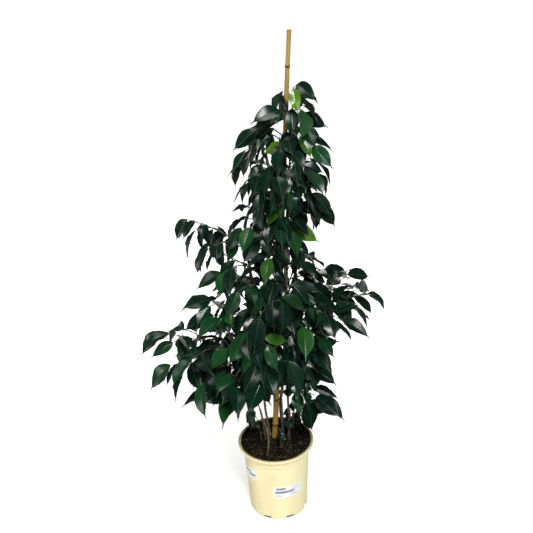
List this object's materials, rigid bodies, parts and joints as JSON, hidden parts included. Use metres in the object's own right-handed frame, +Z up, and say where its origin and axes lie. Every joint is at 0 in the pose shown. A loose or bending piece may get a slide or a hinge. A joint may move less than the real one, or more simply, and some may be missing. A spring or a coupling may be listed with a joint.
{
  "type": "potted weeping fig",
  "caption": "Weeping fig of five leafy stems with drip-tipped leaves round a bamboo cane, standing in potting mix in a round plastic grower's pot.",
  "frame": {"origin": "centre of the pot's flat underside", "axes": "+Z up along the pot's axis, the front of the plant towards -Y, +X to the right as seen from the front"},
  "size_m": [0.7258, 0.5763, 1.451],
  "materials": {
    "pot_plastic": "satin",
    "potting_mix": "matte",
    "bamboo": "satin",
    "foliage": "gloss",
    "label_paper": "matte"
  },
  "bodies": {
    "root": {"pot": "pot_plastic", "soil": "potting_mix", "bamboo_cane": "bamboo", "leafy_stem_leader": "foliage", "leafy_stem_left": "foliage", "leafy_stem_right": "foliage", "leafy_stem_back": "foliage", "leafy_stem_front": "foliage", "label_front": "label_paper", "label_side": "label_paper"}
  },
  "joints": []
}
